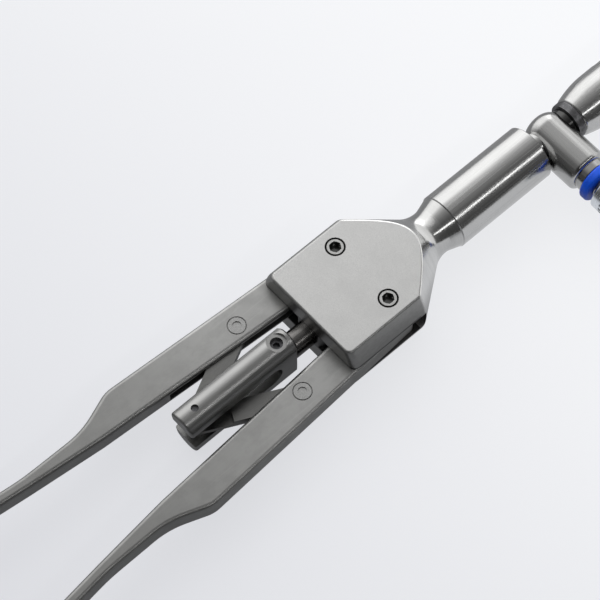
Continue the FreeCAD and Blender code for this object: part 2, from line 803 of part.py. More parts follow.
def make_shaft_tube():
    rear = tube_seat + fitted_gap
    shoulder = knob_front + tube_shoulder_ahead
    tube = bar_x(tube_seat_radius, rear, shoulder).fuse(bar_x(tube_radius, shoulder, clevis_rear))
    return tube.cut(bar_x(tube_bore_radius, rear - past, clevis_rear + past))


# Jaws and what drives them

def make_jaw_clevis():
    plug_rear = clevis_rear - clevis_plug_length
    clevis = bar_x(tube_radius, clevis_rear + fitted_gap, clevis_front)
    rims = [edge for edge in clevis.Edges if abs(edge.BoundBox.XMin - clevis_front) < 1e-4]
    clevis = clevis.makeChamfer(clevis_front_chamfer, rims)
    clevis = clevis.fuse(bar_x(tube_bore_radius - fitted_gap, plug_rear, clevis_rear + fitted_gap))
    clevis = clevis.removeSplitter()
    slot_half = jaw_half_width + side_gap
    slot_rear = clevis_rear - clevis_slot_extra
    high = tube_radius
    clevis = clevis.cut(block(slot_rear, clevis_front + past, -slot_half, slot_half, -high, high))
    clevis = clevis.cut(bar_x(rod_radius + running_gap, plug_rear - past, slot_rear + past))
    hole = bar_y(jaw_pin_radius + fitted_gap, -tube_radius, tube_radius, jaw_pivot_x, 0.0)
    return clevis.cut(hole)


def make_jaw_pivot_pin():
    pin = bar_y(jaw_pin_radius, -tube_radius, tube_radius, jaw_pivot_x, 0.0)
    reach = 2.0 * jaw_pin_radius
    return pin.common(bar_x(tube_radius, jaw_pivot_x - reach, jaw_pivot_x + reach))


def cam_slot():
    """Slot that follows the drive pin in the frame of the upper jaw, pivot at the origin."""
    path = []
    for share in (0.0, 0.5, 1.0):
        angle = math.radians(jaw_open_angle * (1.0 - share))
        behind = drive_pin_behind + slider_travel * share
        path.append(vec(-behind * math.cos(angle), 0.0, behind * math.sin(angle)))
    arc = Part.Arc(path[0], path[1], path[2])
    centre = arc.toShape().Curve.Center
    half_width = drive_pin_radius + running_gap
    sides = []
    for shift in (-half_width, half_width):
        sides.append([centre + (p - centre) * (1.0 + shift / (p - centre).Length) for p in path])
    start_along = (path[0] - path[1]).normalize() * half_width
    end_along = (path[2] - path[1]).normalize() * half_width
    near = sides[0]
    far = sides[1]
    wire = Part.Wire([
        Part.Arc(near[0], near[1], near[2]).toShape(),
        Part.Arc(near[2], path[2] + end_along, far[2]).toShape(),
        Part.Arc(far[2], far[1], far[0]).toShape(),
        Part.Arc(far[0], path[0] + start_along, near[0]).toShape()])
    slot = Part.Face(wire).extrude(vec(0.0, 2.0 * (jaw_half_width + past), 0.0))
    slot.translate(vec(0.0, -jaw_half_width - past, 0.0))
    return slot


def make_upper_jaw():
    tail_inner = tang_half_thickness + side_gap
    hub = bar_y(jaw_hub_radius, tail_inner, jaw_half_width)
    low = -jaw_tail_below
    tail = block(-jaw_tail_length, 0.0, tail_inner, jaw_half_width, low, jaw_tail_above)
    arm_to_head = block(0.0, jaw_head_start, tail_inner, jaw_half_width, jaw_face_gap, jaw_hub_radius)
    side_face = Part.Face(Part.makePolygon([
        vec(jaw_head_start, -jaw_half_width, jaw_face_gap),
        vec(jaw_length, -jaw_half_width, jaw_face_gap),
        vec(jaw_length, -jaw_half_width, jaw_tip_height),
        vec(jaw_head_start, -jaw_half_width, jaw_root_height),
        vec(jaw_head_start, -jaw_half_width, jaw_face_gap)]))
    head = side_face.extrude(vec(0.0, 2.0 * jaw_half_width, 0.0))
    plan = plate([
        (jaw_head_start - past, -jaw_half_width, 0.0),
        (jaw_length, -jaw_tip_half_width, jaw_tip_round),
        (jaw_length, jaw_tip_half_width, jaw_tip_round),
        (jaw_head_start - past, jaw_half_width, 0.0)], 0.0, jaw_root_height + past)
    head = head.common(plan)
    jaw = hub.fuse(tail).fuse(arm_to_head).fuse(head).removeSplitter()
    groove_start = jaw_length / 2.0
    groove = block(groove_start, jaw_length + past, -jaw_groove_half_width, jaw_groove_half_width, 0.0,
                   jaw_face_gap + jaw_groove_depth)
    jaw = jaw.cut(groove)
    jaw = jaw.cut(bar_y(jaw_pin_radius + running_gap, -jaw_half_width - past, jaw_half_width + past))
    jaw = jaw.cut(cam_slot())
    jaw.rotate(ORIGIN, ALONG_Y, -jaw_open_angle)
    jaw.translate(vec(jaw_pivot_x))
    return jaw


def make_lower_jaw():
    jaw = make_upper_jaw()
    jaw.rotate(vec(jaw_pivot_x), ALONG_X, 180.0)
    return jaw


def make_drive_pin():
    x = jaw_pivot_x - drive_pin_behind
    return bar_y(drive_pin_radius, -jaw_half_width, jaw_half_width, x, 0.0)


def make_pull_rod():
    head_rear = swivel_cavity_rear + side_gap
    head_front = head_rear + swivel_head_length
    neck_front = journal_rear + swivel_neck_past_journal
    rod_front = jaw_pivot_x - drive_pin_behind - tang_behind_pin
    rod = bar_x(swivel_head_radius, head_rear, head_front)
    rod = rod.fuse(bar_x(swivel_neck_radius, head_front, neck_front))
    return rod.fuse(bar_x(rod_radius, neck_front, rod_front)).removeSplitter()


def make_rod_tang():
    pin_x = jaw_pivot_x - drive_pin_behind
    plate_rear = pin_x - tang_behind_pin
    rear = plate_rear - tang_boss_length
    height = tang_half_height
    side = tang_half_thickness
    tang = block(plate_rear, pin_x, -side, side, -height, height)
    tip = bar_y(height, -side, side, pin_x, 0.0)
    tip = tip.common(block(pin_x - height, pin_x + tang_ahead_pin, -side, side, -height, height))
    tang = tang.fuse(tip).fuse(bar_x(tang_boss_radius, rear, plate_rear)).removeSplitter()
    tang = tang.cut(bar_y(drive_pin_radius + fitted_gap, -side, side, pin_x, 0.0))
    return tang.cut(bar_x(rod_radius + fitted_gap, rear - past, plate_rear))


def main():
    os.makedirs("parts", exist_ok=True)
    left_arm = make_left_arm()
    left_rivet = make_left_rivet()
    pieces = {
        "handle_body": make_handle_body(),
        "barrel": make_barrel(),
        "left_pivot_screw": make_pivot_screw(1.0),
        "right_pivot_screw": make_pivot_screw(-1.0),
        "left_arm": left_arm,
        "right_arm": mirrored(left_arm),
        "left_link_rivet": left_rivet,
        "right_link_rivet": mirrored(left_rivet),
        "left_link": make_link(True),
        "right_link": mirrored(make_link(False)),
        "slider": make_slider(),
        "slider_set_screw": make_slider_set_screw(),
        "slider_pin": make_slider_pin(),
        "link_spacers": make_link_spacers(),
        "plunger_rod": make_plunger_rod(),
        "spring_seat": make_spring_seat(),
        "plunger_circlip": make_plunger_circlip(),
        "return_spring": make_return_spring(),
        "swivel_bush": make_swivel_bush(),
        "journal_circlip": make_journal_circlip(),
        "port_block": make_port_block(),
        "rod_seals": make_rod_seals(),
        "port_nipple": make_port_nipple(),
        "port_seal_ring": make_port_seal_ring(),
        "port_cap": make_port_cap(),
        "cap_gasket": make_cap_gasket(),
        "knob_collar": make_knob_collar(),
        "rotation_knob": make_rotation_knob(),
        "knob_screw": make_knob_screw(),
        "shaft_tube": make_shaft_tube(),
        "jaw_clevis": make_jaw_clevis(),
        "jaw_pivot_pin": make_jaw_pivot_pin(),
        "upper_jaw": make_upper_jaw(),
        "lower_jaw": make_lower_jaw(),
        "drive_pin": make_drive_pin(),
        "pull_rod": make_pull_rod(),
        "rod_tang": make_rod_tang()}
    for name, shape in pieces.items():
        place(shape).exportStep("parts/" + name + ".step")


main()
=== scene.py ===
import json
import math

import bpy
from mathutils import Matrix, Vector


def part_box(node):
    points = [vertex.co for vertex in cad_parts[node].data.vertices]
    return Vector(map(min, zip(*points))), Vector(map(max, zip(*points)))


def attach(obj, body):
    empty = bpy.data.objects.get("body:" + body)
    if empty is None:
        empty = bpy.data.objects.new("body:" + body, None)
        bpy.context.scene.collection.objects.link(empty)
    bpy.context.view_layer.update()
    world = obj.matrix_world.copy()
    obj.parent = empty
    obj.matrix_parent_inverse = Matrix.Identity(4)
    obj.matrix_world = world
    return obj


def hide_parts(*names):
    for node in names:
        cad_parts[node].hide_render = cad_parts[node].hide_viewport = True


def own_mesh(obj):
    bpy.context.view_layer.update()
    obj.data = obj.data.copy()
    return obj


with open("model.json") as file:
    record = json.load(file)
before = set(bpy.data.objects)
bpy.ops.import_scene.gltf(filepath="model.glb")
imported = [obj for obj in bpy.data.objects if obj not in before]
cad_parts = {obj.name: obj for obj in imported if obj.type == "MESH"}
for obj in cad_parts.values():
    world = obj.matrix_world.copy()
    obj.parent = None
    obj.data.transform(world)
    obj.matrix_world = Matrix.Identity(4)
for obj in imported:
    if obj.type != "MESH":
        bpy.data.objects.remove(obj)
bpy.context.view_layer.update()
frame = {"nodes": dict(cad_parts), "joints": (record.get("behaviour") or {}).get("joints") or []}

MM = 0.001
AXIS_HEIGHT = 9.35 * MM       # the instrument axis above the underside of the body
PIVOT_OFFSET = 10.03 * MM     # from the instrument axis to each arm pivot
GROOVE_OUTER = 2.74 * MM      # radii of the painted shade in the groove around a pivot screw's head
GROOVE_INNER = 2.22 * MM
SOCKET_RADIUS = 1.55 * MM     # the painted shade in a pivot screw's socket
HUB_RADIUS = 5.1 * MM
HUB_AHEAD = (3.4 * MM, 4.4 * MM)       # where the blackened hub begins, ahead of the port's centre
SLIDER_SHADE_REACH = (1.6 * MM, 3.4 * MM)     # where the painted shade on the slider's right flank begins, right of the axis
SLOT_FRONT = 5.0 * MM         # front end of the arm slots
CONE_START = 6.4 * MM         # where the body's cone begins
NECK_START = (19.5 * MM, 22.0 * MM)
ARM_DARKENS = (12.0 * MM, 95.0 * MM)   # behind the pivots, the arms grow darker between these
ARM_SHELTER_BEHIND = 21.5 * MM         # from here to the pivots an arm lies in the body's shade
CLOUD_CELLS = (140.0, 140.0, 140.0)    # cells per metre of the faint clouds in rubbed steel

port_low, port_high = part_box("port_seal_ring")
port_middle = (port_low + port_high) / 2.0


# Shader maths

class Wire:
    """One shader value. Arithmetic on it adds Math nodes to its finish."""

    def __init__(self, finish, socket):
        self.finish = finish
        self.socket = socket

    def maths(self, operation, *others):
        made = self.finish.add("ShaderNodeMath", {"operation": operation})
        for i, value in enumerate((self,) + others):
            self.finish.feed(made.inputs[i], value)
        return Wire(self.finish, made.outputs[0])

    def __add__(self, other):
        return self.maths("ADD", other)

    __radd__ = __add__

    def __mul__(self, other):
        return self.maths("MULTIPLY", other)

    __rmul__ = __mul__

    def __sub__(self, other):
        return self.maths("SUBTRACT", other)

    def __rsub__(self, other):
        return (self * -1.0) + other

    def __truediv__(self, other):
        return self.maths("DIVIDE", other)

    def __pow__(self, other):
        return self.maths("POWER", other)

    def __abs__(self):
        return self.maths("ABSOLUTE")

    def most(self, other):
        return self.maths("MAXIMUM", other)

    def rise(self, low, high):
        """0 below low, 1 above high, and a smooth step between them."""
        made = self.finish.add("ShaderNodeMapRange", {"interpolation_type": "SMOOTHSTEP"})
        self.finish.feed(made.inputs["Value"], self)
        made.inputs["From Min"].default_value = low
        made.inputs["From Max"].default_value = high
        return Wire(self.finish, made.outputs["Result"])


class Finish:
    """A material or world under construction."""

    def __init__(self, tree):
        self.tree = tree
        tree.nodes.clear()
        self.texture = None

    def add(self, kind, settings=None):
        made = self.tree.nodes.new(kind)
        for name, value in (settings or {}).items():
            if name == "stops":
                ramp = made.color_ramp
                while len(ramp.elements) > 1:
                    ramp.elements.remove(ramp.elements[-1])
                for i, (place, colour) in enumerate(value):
                    stop = ramp.elements[0] if i == 0 else ramp.elements.new(place)
                    stop.position = place
                    stop.color = tuple(colour) + (1.0,)
            else:
                setattr(made, name, value)
        return made

    def feed(self, socket, value):
        if isinstance(value, Wire):
            self.tree.links.new(value.socket, socket)
        elif isinstance(value, (tuple, list)) and socket.type == "RGBA" and len(value) == 3:
            socket.default_value = tuple(value) + (1.0,)
        else:
            socket.default_value = value

    def node(self, kind, settings=None, inputs=None, output=0):
        """Any node: its settings first, then its sockets; gives one of its outputs."""
        made = self.add(kind, settings)
        for name, value in (inputs or {}).items():
            self.feed(made.inputs[name], value)
        return Wire(self, made.outputs[output])

    def coordinates(self, output="Object"):
        if self.texture is None:
            self.texture = self.add("ShaderNodeTexCoord")
        return Wire(self, self.texture.outputs[output])

    def parts(self, vector):
        made = self.add("ShaderNodeSeparateXYZ")
        self.feed(made.inputs[0], vector)
        return [Wire(self, made.outputs[i]) for i in range(3)]

    def stretched(self, scales):
        """Object position multiplied by a number for each axis."""
        return self.node("ShaderNodeVectorMath", {"operation": "MULTIPLY"},
                         {0: self.coordinates(), 1: scales})

    def grain(self, scales, detail=2.0, roughness=0.5):
        """Noise around 0.5 whose cells are one over the scale long on each axis."""
        return self.node("ShaderNodeTexNoise", {"noise_dimensions": "3D"},
                         {"Vector": self.stretched(scales), "Scale": 1.0, "Detail": detail,
                          "Roughness": roughness})

    def mix(self, amount, first, second):
        """Colour between first and second."""
        return self.node("ShaderNodeMix", {"data_type": "RGBA"}, {0: amount, 6: first, 7: second}, 2)

    def bump(self, height, depth, strength):
        return self.node("ShaderNodeBump", None, {
            "Height": height, "Distance": depth, "Strength": strength})

    def surface(self, inputs):
        """Principled surface wired to the output."""
        shader = self.node("ShaderNodeBsdfPrincipled", None, inputs)
        out = self.add("ShaderNodeOutputMaterial")
        self.tree.links.new(shader.socket, out.inputs["Surface"])


def new_finish(name):
    material = bpy.data.materials.new(name)
    material.use_nodes = True
    return material, Finish(material.node_tree)


def shade(colour, factor):
    return tuple(min(1.0, c * factor) for c in colour)


# Steels

def brushed_steel(name, colour, roughness, streaks, wear=0.08, line_depth=0.004, darkened=None):
    """Steel rubbed in one direction; streaks holds the cells per metre on each axis."""
    material, f = new_finish(name)
    lines = f.grain(streaks, 3.0, 0.65)
    fine = f.grain([s * 2.7 for s in streaks], 2.0, 0.6)
    clouds = f.grain(CLOUD_CELLS, 3.0, 0.55)
    rubbed = (lines * 0.6 + fine * 0.4).rise(0.32, 0.7)
    marks = f.grain([s * 0.55 for s in streaks], 0.0, 0.5).rise(0.66, 0.74)
    colour_lines = f.mix(rubbed, shade(colour, 1.0 - wear), shade(colour, 1.0 + wear))
    base = f.mix(clouds.rise(0.35, 0.75) * 0.35, colour_lines, shade(colour, 1.0 - 1.6 * wear))
    rough = rubbed * 0.10 + clouds * 0.08 + marks * 0.08 + (roughness - 0.09)
    if darkened is not None:
        # darkened pulls the colour towards near black; the slider's flank and the pivot screws pass it
        # painted shade
        base = f.mix(darkened(f), base, shade(colour, 0.16))
    relief = f.bump(lines * 0.5 + fine * 0.5, line_depth * MM, 0.5)
    f.surface({"Base Color": base, "Metallic": 1.0, "Roughness": rough, "Normal": relief})
    return material


def within(f, centre, radius, soft, axes):
    """1 nearer than a radius to a line through the centre; axes are the two across it."""
    here = f.parts(f.coordinates())
    apart = [here[axis] - centre[i] for i, axis in enumerate(axes)]
    return ((apart[0] * apart[0] + apart[1] * apart[1]) ** 0.5).rise(radius + soft, radius - soft)


def screw_recess_shade(f):
    """Painted shade in the groove around a pivot screw's head and in its socket."""
    hollow = None
    for side in (-1.0, 1.0):
        centre = (0.0, side * PIVOT_OFFSET)
        groove = within(f, centre, GROOVE_OUTER, 0.04 * MM, (0, 1)) * (
            1.0 - within(f, centre, GROOVE_INNER, 0.05 * MM, (0, 1)))
        found = groove.most(within(f, centre, SOCKET_RADIUS, 0.05 * MM, (0, 1)))
        hollow = found if hollow is None else hollow.most(found)
    return hollow


def port_hub(f):
    """The blackened hub between the cross cylinder and the collar."""
    here = f.parts(f.coordinates())
    hub = within(f, (0.0, AXIS_HEIGHT), HUB_RADIUS, 0.1 * MM, (1, 2))
    return hub * (here[0] - port_middle.x).rise(*HUB_AHEAD)


def slider_side_shade(f):
    """Painted shade darkening the slider's right flank."""
    here = f.parts(f.coordinates())
    return (here[1] * -1.0).rise(*SLIDER_SHADE_REACH) * 0.34


def body_steel():
    """Flats blasted to a soft grain; cone and neck turned and polished; slot walls left dull. Painted
    shade darkens the slots and the walls behind the cone, and the screw grooves and sockets.
    """
    material, f = new_finish("body_steel")
    across = f.parts(f.coordinates("Normal"))
    here = f.parts(f.coordinates())
    flat = abs(across[2]).rise(0.97, 0.995)
    speck = f.grain((5200.0, 5200.0, 5200.0), 3.0, 0.7)
    pits = f.grain((2600.0, 2600.0, 2600.0), 2.0, 0.5).rise(0.56, 0.72)
    clouds = f.grain((110.0, 110.0, 110.0), 3.0, 0.6)
    blasted = f.mix(speck.rise(0.3, 0.7), (0.57, 0.57, 0.565), (0.70, 0.70, 0.69))
    blasted = f.mix(clouds.rise(0.35, 0.8) * 0.6, blasted, (0.55, 0.55, 0.545))
    blasted = f.mix(pits * 0.25, blasted, (0.42, 0.42, 0.42))
    rings = f.grain((6500.0, 60.0, 60.0), 3.0, 0.6)
    milled = f.grain((900.0, 900.0, 3000.0), 3.0, 0.6)
    turned = f.mix(rings.rise(0.3, 0.7), (0.57, 0.57, 0.565), (0.67, 0.67, 0.66))
    height_off_axis = abs(here[2] - AXIS_HEIGHT)
    slots = height_off_axis.rise(3.9 * MM, 3.4 * MM) * (SLOT_FRONT - here[0]).rise(0.0, 0.2 * MM)
    rim = (CONE_START - here[0]).rise(-0.8 * MM, 0.6 * MM)
    # painted shade: behind the cone the walls take a darkened milled grain
    shaded_milled_colour = f.mix(milled.rise(0.3, 0.7), (0.30, 0.30, 0.295), (0.36, 0.36, 0.355))
    turned = f.mix(rim, turned, shaded_milled_colour)
    neck = here[0].rise(*NECK_START)
    turned = f.mix(neck * 0.5, turned, (0.36, 0.36, 0.355))
    # painted shade in the arm slots
    turned = f.mix(slots, turned, (0.13, 0.13, 0.13))
    base = f.mix(flat * (1.0 - slots), turned, blasted)
    # painted shade in the groove around each pivot screw's head and in its socket
    base = f.mix(screw_recess_shade(f), base, (0.05, 0.05, 0.05))
    rough_flat = speck * 0.10 + clouds * 0.10 + 0.30
    rough_turned = rings * 0.10 + clouds * 0.06 + 0.08 + slots.most(rim) * (milled * 0.2 + 0.12)
    rough = flat * rough_flat + (1.0 - flat) * rough_turned
    height = flat * (speck * 0.7 + pits * -0.5) + (1.0 - flat) * (rings * 0.25)
    f.surface({"Base Color": base, "Metallic": 1.0, "Roughness": rough,
               "Normal": f.bump(height, 0.010 * MM, 0.7)})
    return material


def arm_steel():
    """Flat ground plates: a soft mottled satin, faint lengthwise rubbing, darker to the rear."""
    material, f = new_finish("arm_steel")
    here = f.parts(f.coordinates())
    lines = f.grain((70.0, 2600.0, 1500.0), 3.0, 0.6)
    mottle = f.grain((190.0, 260.0, 260.0), 5.0, 0.6)
    broad = f.grain((50.0, 80.0, 80.0), 3.0, 0.6)
    speck = f.grain((4300.0, 4300.0, 4300.0), 2.0, 0.6)
    scratch = f.grain((45.0, 1700.0, 900.0), 0.0, 0.5).rise(0.71, 0.77)
    base = f.mix(lines.rise(0.2, 0.8), (0.43, 0.43, 0.425), (0.455, 0.455, 0.445))
    base = f.mix(mottle.rise(0.38, 0.66) * 0.55, base, (0.325, 0.325, 0.32))
    base = f.mix(broad.rise(0.35, 0.7) * 0.4, base, (0.36, 0.36, 0.355))
    base = f.mix(scratch * 0.25, base, (0.52, 0.52, 0.51))
    rearward = (here[0] * -1.0).rise(*ARM_DARKENS)
    base = f.mix(rearward * 0.68, base, (0.20, 0.20, 0.195))
    sheltered = (here[0] + ARM_SHELTER_BEHIND).rise(0.0, 2.6 * MM)
    base = f.mix(sheltered * 0.4, base, (0.18, 0.18, 0.175))
    rough = mottle * 0.14 + lines * 0.03 + speck * 0.06 + 0.28
    f.surface({"Base Color": base, "Metallic": 1.0, "Roughness": rough,
               "Normal": f.bump(lines * 0.2 + speck * 0.8, 0.005 * MM, 0.5)})
    return material


def polished_steel():
    material, f = new_finish("polished_steel")
    haze = f.grain((600.0, 600.0, 600.0), 3.0, 0.6)
    hair = f.grain((3200.0, 200.0, 900.0), 2.0, 0.6)
    base = f.mix(haze.rise(0.3, 0.8), (0.40, 0.40, 0.395), (0.34, 0.34, 0.335))
    f.surface({"Base Color": base, "Metallic": 1.0, "Roughness": haze * 0.08 + hair * 0.05 + 0.05,
               "Normal": f.bump(hair, 0.002 * MM, 0.4)})
    return material


def dark_steel(name, colour, roughness):
    """Blackened steel whose high spots have rubbed lighter."""
    material, f = new_finish(name)
    patches = f.grain((900.0, 900.0, 900.0), 4.0, 0.65)
    speck = f.grain((5200.0, 5200.0, 5200.0), 2.0, 0.6)
    base = f.mix(patches.rise(0.45, 0.7), colour, shade(colour, 1.7))
    rough = speck * 0.12 + patches * 0.1 + roughness
    f.surface({"Base Color": base, "Metallic": 0.9, "Roughness": rough,
               "Normal": f.bump(speck, 0.006 * MM, 0.5)})
    return material


# Rubbers

def rubber(name, colour, deep, roughness, coat=0.0):
    """Moulded rubber: fine pebbled skin, a little lighter where it has been rubbed."""
    material, f = new_finish(name)
    pebble = f.grain((3800.0, 3800.0, 3800.0), 3.0, 0.6)
    bloom = f.grain((420.0, 420.0, 420.0), 3.0, 0.6)
    base = f.mix(bloom.rise(0.35, 0.75), colour, deep)
    base = f.mix(pebble.rise(0.5, 0.8) * 0.25, base, shade(colour, 1.25))
    rough = bloom * 0.12 + pebble * 0.08 + roughness
    f.surface({"Base Color": base, "Metallic": 0.0, "Roughness": rough,
               "Coat Weight": coat, "Coat Roughness": 0.12,
               "Normal": f.bump(pebble, 0.012 * MM, 0.5)})
    return material


ALONG_X = (28.0, 2600.0, 2600.0)
ALONG_Y = (2400.0, 40.0, 2400.0)
ROUND_X = (5200.0, 160.0, 160.0)
ROUND_Y = (160.0, 5200.0, 160.0)

finishes = {
    "body_steel": body_steel(),
    "arm_steel": arm_steel(),
    "barrel_steel": brushed_steel("barrel_steel", (0.52, 0.52, 0.515), 0.19, ALONG_X, 0.07, 0.0012),
    "port_steel": brushed_steel("port_steel", (0.44, 0.44, 0.435), 0.19, ALONG_Y, 0.07, 0.0012,
                                port_hub),
    "knob_steel": brushed_steel("knob_steel", (0.50, 0.50, 0.495), 0.20, ALONG_X, 0.07, 0.0012),
    # the slider's right flank carries painted shade
    "slider_steel": brushed_steel("slider_steel", (0.35, 0.35, 0.345), 0.36,
                                  (60.0, 2200.0, 2200.0), 0.06, darkened=slider_side_shade),
    # painted shade: the links and spacers are steel darkened for the shade they lie in
    "link_steel": brushed_steel("link_steel", (0.185, 0.185, 0.18), 0.34, (300.0, 1900.0, 1900.0)),
    "rivet_steel": brushed_steel("rivet_steel", (0.42, 0.42, 0.415), 0.28, (1500.0, 1500.0, 400.0)),
    # the pivot screws' head grooves and sockets carry painted shade
    "screw_steel": brushed_steel("screw_steel", (0.60, 0.60, 0.59), 0.22, (1700.0, 1700.0, 300.0), 0.06,
                                 0.003, screw_recess_shade),
    "rod_steel": brushed_steel("rod_steel", (0.16, 0.155, 0.15), 0.26, ROUND_X, 0.06, 0.001),
    "tube_steel": brushed_steel("tube_steel", (0.47, 0.47, 0.465), 0.30, (40.0, 2400.0, 2400.0)),
    "jaw_steel": brushed_steel("jaw_steel", (0.48, 0.48, 0.48), 0.25, (300.0, 3000.0, 3000.0)),
    "cap_steel": brushed_steel("cap_steel", (0.70, 0.73, 0.77), 0.22, ROUND_Y),
    "collar_steel": dark_steel("collar_steel", (0.14, 0.14, 0.145), 0.24),
    "dark_steel": dark_steel("dark_steel", (0.10, 0.10, 0.105), 0.22),
    "spring_steel": brushed_steel("spring_steel", (0.36, 0.36, 0.36), 0.26, (900.0, 2600.0, 2600.0)),
    "polished_steel": polished_steel(),
    "bush_steel": dark_steel("bush_steel", (0.06, 0.06, 0.06), 0.30),
    "blue_rubber": rubber("blue_rubber", (0.0, 0.12, 0.98), (0.0, 0.095, 0.84), 0.34),
    "seal_rubber": rubber("seal_rubber", (0.02, 0.02, 0.02), (0.012, 0.012, 0.012), 0.42),
    "gasket_rubber": rubber("gasket_rubber", (0.62, 0.62, 0.60), (0.52, 0.52, 0.50), 0.45)}

node_finish = {
    "handle_body": "body_steel", "barrel": "barrel_steel", "left_pivot_screw": "screw_steel",
    "right_pivot_screw": "screw_steel", "left_arm": "arm_steel", "right_arm": "arm_steel",
    "left_link_rivet": "rivet_steel", "right_link_rivet": "rivet_steel", "left_link": "link_steel",
    "right_link": "link_steel", "slider": "slider_steel", "slider_set_screw": "dark_steel",
    "slider_pin": "dark_steel", "link_spacers": "link_steel", "plunger_rod": "rod_steel",
    "spring_seat": "rod_steel", "plunger_circlip": "dark_steel", "return_spring": "spring_steel",
    "swivel_bush": "bush_steel", "journal_circlip": "dark_steel", "port_block": "port_steel",
    "rod_seals": "seal_rubber", "port_nipple": "polished_steel", "port_seal_ring": "blue_rubber",
    "port_cap": "cap_steel", "cap_gasket": "gasket_rubber", "knob_collar": "collar_steel",
    "rotation_knob": "knob_steel", "knob_screw": "dark_steel", "shaft_tube": "tube_steel",
    "jaw_clevis": "jaw_steel", "jaw_pivot_pin": "polished_steel", "upper_jaw": "jaw_steel",
    "lower_jaw": "jaw_steel", "drive_pin": "polished_steel", "pull_rod": "rod_steel",
    "rod_tang": "jaw_steel"}

for node_name, piece in frame["nodes"].items():
    piece.data.materials.clear()
    piece.data.materials.append(finishes[node_finish[node_name]])


# Geometry trees

class Tree:
    """A Geometry Nodes tree with named inputs for its sizes."""

    def __init__(self, name, sizes):
        self.group = bpy.data.node_groups.new(name, "GeometryNodeTree")
        face = self.group.interface
        face.new_socket("Geometry", in_out="INPUT", socket_type="NodeSocketGeometry")
        self.identifiers = {}
        for size, kind in sizes.items():
            made = face.new_socket(size, in_out="INPUT", socket_type=kind)
            self.identifiers[size] = made.identifier
        face.new_socket("Geometry", in_out="OUTPUT", socket_type="NodeSocketGeometry")
        self.inputs = self.group.nodes.new("NodeGroupInput")
        self.outputs = self.group.nodes.new("NodeGroupOutput")

    def size(self, name):
        return self.inputs.outputs[name]

    def node(self, kind, settings=None, inputs=None, output=0):
        made = self.group.nodes.new(kind)
        for name, value in (settings or {}).items():
            setattr(made, name, value)
        for name, value in (inputs or {}).items():
            socket = made.inputs[name]
            if isinstance(value, bpy.types.NodeSocket):
                self.group.links.new(value, socket)
            else:
                socket.default_value = value
        return made.outputs[output]

    def close(self, geometry, material):
        real = self.node("GeometryNodeRealizeInstances", None, {"Geometry": geometry})
        coated = self.node("GeometryNodeSetMaterial", None, {"Geometry": real, "Material": material})
        self.group.links.new(coated, self.outputs.inputs[0])


def grown(name, tree, values, body, place=None):
    """Runs a tree, turns what it makes into a plain mesh in place, and lets it ride on a body."""
    carrier = bpy.data.objects.new(name, bpy.data.meshes.new(name))
    bpy.context.scene.collection.objects.link(carrier)
    modifier = carrier.modifiers.new(name, "NODES")
    modifier.node_group = tree.group
    for size, value in values.items():
        modifier[tree.identifiers[size]] = value
    graph = bpy.context.evaluated_depsgraph_get()
    mesh = bpy.data.meshes.new_from_object(carrier.evaluated_get(graph))
    carrier.modifiers.remove(modifier)
    carrier.data = mesh
    if place is not None:
        mesh.transform(place)
    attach(carrier, body)
    return carrier


def helix_tree(name, material):
    """One round wire wound about Z."""
    tree = Tree(name, {"Radius": "NodeSocketFloat", "Height": "NodeSocketFloat",
                                "Turns": "NodeSocketFloat", "Crest": "NodeSocketFloat"})
    spiral = tree.node("GeometryNodeCurveSpiral", None, {
        "Resolution": 40, "Rotations": tree.size("Turns"), "Start Radius": tree.size("Radius"),
        "End Radius": tree.size("Radius"), "Height": tree.size("Height")})
    crest = tree.node("GeometryNodeCurvePrimitiveCircle", None, {
        "Resolution": 12, "Radius": tree.size("Crest")})
    ridge = tree.node("GeometryNodeCurveToMesh", None, {
        "Curve": spiral, "Profile Curve": crest, "Fill Caps": True})
    tree.close(ridge, material)
    return tree


fitting_low, fitting_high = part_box("port_nipple")
port_centre = (fitting_low + fitting_high) / 2.0
nipple_tip = fitting_low.y
thread_length = 6.0 * MM
thread_behind_tip = 2.0 * MM
thread_radius = 3.3 * MM
thread_crest = 0.32 * MM
thread_turns = 5.0
grown("port_thread", helix_tree("port_thread", finishes["polished_steel"]),
      {"Radius": thread_radius, "Height": thread_length, "Turns": thread_turns, "Crest": thread_crest},
      "shaft",
      Matrix.Translation((port_centre.x, nipple_tip + thread_behind_tip + thread_length, AXIS_HEIGHT))
      @ Matrix.Rotation(math.radians(90.0), 4, "X"))


spring_low, spring_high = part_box("return_spring")
wire_radius = 0.55 * MM
coil_count = 6.0
coils_length = spring_high.x - spring_low.x
coils = grown("return_coils", helix_tree("return_coils", finishes["spring_steel"]),
              {"Radius": (spring_high.y - spring_low.y) / 2.0 - wire_radius, "Turns": coil_count,
               "Crest": wire_radius, "Height": coils_length - 2.0 * wire_radius},
              "handle",
              Matrix.Translation((spring_low.x + wire_radius, 0.0, AXIS_HEIGHT))
              @ Matrix.Rotation(math.radians(90.0), 4, "Y"))
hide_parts("return_spring")
slider_joint = next(j for j in frame["joints"] if j["name"] == "slider_slide")
slider_travel = abs(slider_joint["range_m"][0])
1.0 - slider_travel / coils_length
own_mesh(coils)


